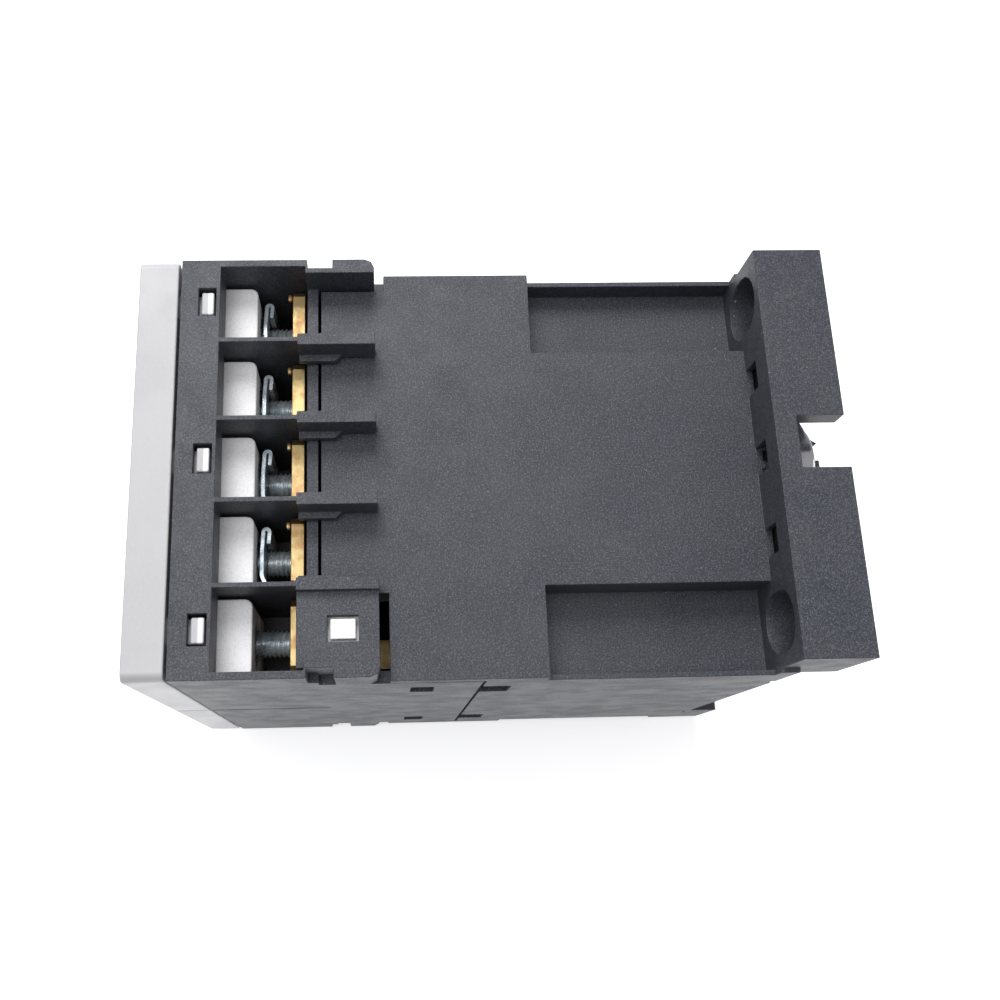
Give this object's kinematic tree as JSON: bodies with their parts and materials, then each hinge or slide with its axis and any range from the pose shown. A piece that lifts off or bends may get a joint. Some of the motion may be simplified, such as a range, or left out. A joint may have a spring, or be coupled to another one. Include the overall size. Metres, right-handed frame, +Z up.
{
  "type": "control relay",
  "caption": "Rail-mounted control relay with screw terminals at both ends, a light-grey cover, black housing, sliding contact carrier, magnet and coil.",
  "frame": {"origin": "centre of the flat that rests on the mounting rail", "axes": "+Z up when mounted, +Y towards the rail and panel, front face towards -Y, +X across the width to the coil terminals"},
  "size_m": [0.045, 0.073, 0.0622],
  "materials": {
    "cover_plastic": "light grey moulded plastic, satin",
    "housing_plastic": "black moulded plastic, fine spark-eroded grain",
    "marker_plastic": "white plastic, smooth",
    "carrier_plastic": "dark moulded plastic",
    "bobbin_plastic": "natural glass-filled plastic",
    "brass": "stamped, bright",
    "zinc_steel": "zinc plated, blue passivated",
    "spring_steel": "bright spring steel",
    "core_iron": "laminated sheet iron, ground faces",
    "copper": "enamelled copper",
    "pad_rubber": "black rubber"
  },
  "bodies": {
    "root": {"front_cover": "cover_plastic", "marker_plate": "marker_plastic", "terminal_housing": "housing_plastic", "base_housing": "housing_plastic", "magnet_core": "core_iron", "core_pad": "pad_rubber", "shading_ring_upper": "copper", "shading_ring_lower": "copper", "coil_bobbin": "bobbin_plastic", "coil_winding": "copper", "return_spring_left": "spring_steel", "return_spring_right": "spring_steel", "fixed_contact_upper_1": "brass", "fixed_contact_upper_2": "brass", "fixed_contact_upper_3": "brass", "fixed_contact_upper_4": "brass", "coil_terminal_upper": "brass", "coil_holder_upper": "cover_plastic", "fixed_contact_lower_1": "brass", "fixed_contact_lower_2": "brass", "fixed_contact_lower_3": "brass", "fixed_contact_lower_4": "brass", "coil_terminal_lower": "brass", "coil_holder_lower": "cover_plastic"},
    "carrier": {"contact_carrier": "carrier_plastic", "armature": "core_iron", "armature_pin": "spring_steel", "contact_spring_1": "spring_steel", "contact_spring_2": "spring_steel", "contact_spring_3": "spring_steel", "contact_spring_4": "spring_steel"},
    "rail_spring": {"rail_spring": "spring_steel"},
    "bridge_1": {"contact_bridge_1": "brass"},
    "bridge_2": {"contact_bridge_2": "brass"},
    "bridge_3": {"contact_bridge_3": "brass"},
    "bridge_4": {"contact_bridge_4": "brass"},
    "clamp_upper_1": {"washer_upper_1": "zinc_steel"},
    "screw_upper_1": {"screw_upper_1": "zinc_steel"},
    "clamp_upper_2": {"washer_upper_2": "zinc_steel"},
    "screw_upper_2": {"screw_upper_2": "zinc_steel"},
    "clamp_upper_3": {"washer_upper_3": "zinc_steel"},
    "screw_upper_3": {"screw_upper_3": "zinc_steel"},
    "clamp_upper_4": {"washer_upper_4": "zinc_steel"},
    "screw_upper_4": {"screw_upper_4": "zinc_steel"},
    "clamp_coil_upper": {"washer_coil_upper": "zinc_steel"},
    "screw_coil_upper": {"screw_coil_upper": "zinc_steel"},
    "clamp_lower_1": {"washer_lower_1": "zinc_steel"},
    "screw_lower_1": {"screw_lower_1": "zinc_steel"},
    "clamp_lower_2": {"washer_lower_2": "zinc_steel"},
    "screw_lower_2": {"screw_lower_2": "zinc_steel"},
    "clamp_lower_3": {"washer_lower_3": "zinc_steel"},
    "screw_lower_3": {"screw_lower_3": "zinc_steel"},
    "clamp_lower_4": {"washer_lower_4": "zinc_steel"},
    "screw_lower_4": {"screw_lower_4": "zinc_steel"},
    "clamp_coil_lower": {"washer_coil_lower": "zinc_steel"},
    "screw_coil_lower": {"screw_coil_lower": "zinc_steel"}
  },
  "joints": [
    {"name": "carrier_slide", "type": "slide", "parent": "root", "child": "carrier", "axis": [0, 1, 0], "range_m": [0, 0.003], "stiffness_N_per_m": 600, "springref_m": -0.005, "deforming": ["return_spring_left", "return_spring_right"]},
    {"name": "bridge_1_slide", "type": "slide", "parent": "carrier", "child": "bridge_1", "axis": [0, 1, 0], "range_m": [-0.000601, 0], "deforming": ["contact_spring_1"]},
    {"name": "bridge_2_slide", "type": "slide", "parent": "carrier", "child": "bridge_2", "axis": [0, 1, 0], "range_m": [-0.000601, 0], "deforming": ["contact_spring_2"]},
    {"name": "bridge_3_slide", "type": "slide", "parent": "carrier", "child": "bridge_3", "axis": [0, 1, 0], "range_m": [-0.000601, 0], "deforming": ["contact_spring_3"]},
    {"name": "bridge_4_slide", "type": "slide", "parent": "carrier", "child": "bridge_4", "axis": [0, 1, 0], "range_m": [-0.000601, 0], "deforming": ["contact_spring_4"]},
    {"name": "clamp_upper_1_slide", "type": "slide", "parent": "root", "child": "clamp_upper_1", "axis": [0, 1, 0], "range_m": [0, 0.002]},
    {"name": "screw_upper_1_turn", "type": "hinge", "parent": "clamp_upper_1", "child": "screw_upper_1", "pos_m": [-0.01756, -0.0555, 0.0187], "axis": [0, 1, 0], "range_deg": [0, 1440.6]},
    {"name": "clamp_upper_2_slide", "type": "slide", "parent": "root", "child": "clamp_upper_2", "axis": [0, 1, 0], "range_m": [0, 0.002]},
    {"name": "screw_upper_2_turn", "type": "hinge", "parent": "clamp_upper_2", "child": "screw_upper_2", "pos_m": [-0.00878, -0.0555, 0.0187], "axis": [0, 1, 0], "range_deg": [0, 1440.6]},
    {"name": "clamp_upper_3_slide", "type": "slide", "parent": "root", "child": "clamp_upper_3", "axis": [0, 1, 0], "range_m": [0, 0.002]},
    {"name": "screw_upper_3_turn", "type": "hinge", "parent": "clamp_upper_3", "child": "screw_upper_3", "pos_m": [0, -0.0555, 0.0187], "axis": [0, 1, 0], "range_deg": [0, 1440.6]},
    {"name": "clamp_upper_4_slide", "type": "slide", "parent": "root", "child": "clamp_upper_4", "axis": [0, 1, 0], "range_m": [0, 0.002]},
    {"name": "screw_upper_4_turn", "type": "hinge", "parent": "clamp_upper_4", "child": "screw_upper_4", "pos_m": [0.00878, -0.0555, 0.0187], "axis": [0, 1, 0], "range_deg": [0, 1440.6]},
    {"name": "clamp_coil_upper_slide", "type": "slide", "parent": "root", "child": "clamp_coil_upper", "axis": [0, 1, 0], "range_m": [0, 0.0035]},
    {"name": "screw_coil_upper_turn", "type": "hinge", "parent": "clamp_coil_upper", "child": "screw_coil_upper", "pos_m": [0.01756, -0.0555, 0.0187], "axis": [0, 1, 0], "range_deg": [0, 2520.6]},
    {"name": "clamp_lower_1_slide", "type": "slide", "parent": "root", "child": "clamp_lower_1", "axis": [0, 1, 0], "range_m": [0, 0.002]},
    {"name": "screw_lower_1_turn", "type": "hinge", "parent": "clamp_lower_1", "child": "screw_lower_1", "pos_m": [-0.01756, -0.0555, -0.0187], "axis": [0, 1, 0], "range_deg": [0, 1440.6]},
    {"name": "clamp_lower_2_slide", "type": "slide", "parent": "root", "child": "clamp_lower_2", "axis": [0, 1, 0], "range_m": [0, 0.002]},
    {"name": "screw_lower_2_turn", "type": "hinge", "parent": "clamp_lower_2", "child": "screw_lower_2", "pos_m": [-0.00878, -0.0555, -0.0187], "axis": [0, 1, 0], "range_deg": [0, 1440.6]},
    {"name": "clamp_lower_3_slide", "type": "slide", "parent": "root", "child": "clamp_lower_3", "axis": [0, 1, 0], "range_m": [0, 0.002]},
    {"name": "screw_lower_3_turn", "type": "hinge", "parent": "clamp_lower_3", "child": "screw_lower_3", "pos_m": [0, -0.0555, -0.0187], "axis": [0, 1, 0], "range_deg": [0, 1440.6]},
    {"name": "clamp_lower_4_slide", "type": "slide", "parent": "root", "child": "clamp_lower_4", "axis": [0, 1, 0], "range_m": [0, 0.002]},
    {"name": "screw_lower_4_turn", "type": "hinge", "parent": "clamp_lower_4", "child": "screw_lower_4", "pos_m": [0.00878, -0.0555, -0.0187], "axis": [0, 1, 0], "range_deg": [0, 1440.6]},
    {"name": "clamp_coil_lower_slide", "type": "slide", "parent": "root", "child": "clamp_coil_lower", "axis": [0, 1, 0], "range_m": [0, 0.0035]},
    {"name": "screw_coil_lower_turn", "type": "hinge", "parent": "clamp_coil_lower", "child": "screw_coil_lower", "pos_m": [0.01756, -0.0555, -0.0187], "axis": [0, 1, 0], "range_deg": [0, 2520.6]},
    {"name": "rail_spring_slide", "type": "slide", "parent": "root", "child": "rail_spring", "axis": [0, 0, 1], "range_m": [0, 0.0013], "stiffness_N_per_m": 4000, "springref_m": -0.0005}
  ],
  "couplings": [
    {"joint": "bridge_1_slide", "follows": "carrier_slide", "ratio": -0.2},
    {"joint": "bridge_2_slide", "follows": "carrier_slide", "ratio": -0.2},
    {"joint": "bridge_3_slide", "follows": "carrier_slide", "ratio": -0.2},
    {"joint": "bridge_4_slide", "follows": "carrier_slide", "ratio": -0.2},
    {"joint": "screw_upper_1_turn", "follows": "clamp_upper_1_slide", "rad_per_m": 12566},
    {"joint": "screw_upper_2_turn", "follows": "clamp_upper_2_slide", "rad_per_m": 12566},
    {"joint": "screw_upper_3_turn", "follows": "clamp_upper_3_slide", "rad_per_m": 12566},
    {"joint": "screw_upper_4_turn", "follows": "clamp_upper_4_slide", "rad_per_m": 12566},
    {"joint": "screw_coil_upper_turn", "follows": "clamp_coil_upper_slide", "rad_per_m": 12566},
    {"joint": "screw_lower_1_turn", "follows": "clamp_lower_1_slide", "rad_per_m": 12566},
    {"joint": "screw_lower_2_turn", "follows": "clamp_lower_2_slide", "rad_per_m": 12566},
    {"joint": "screw_lower_3_turn", "follows": "clamp_lower_3_slide", "rad_per_m": 12566},
    {"joint": "screw_lower_4_turn", "follows": "clamp_lower_4_slide", "rad_per_m": 12566},
    {"joint": "screw_coil_lower_turn", "follows": "clamp_coil_lower_slide", "rad_per_m": 12566}
  ]
}
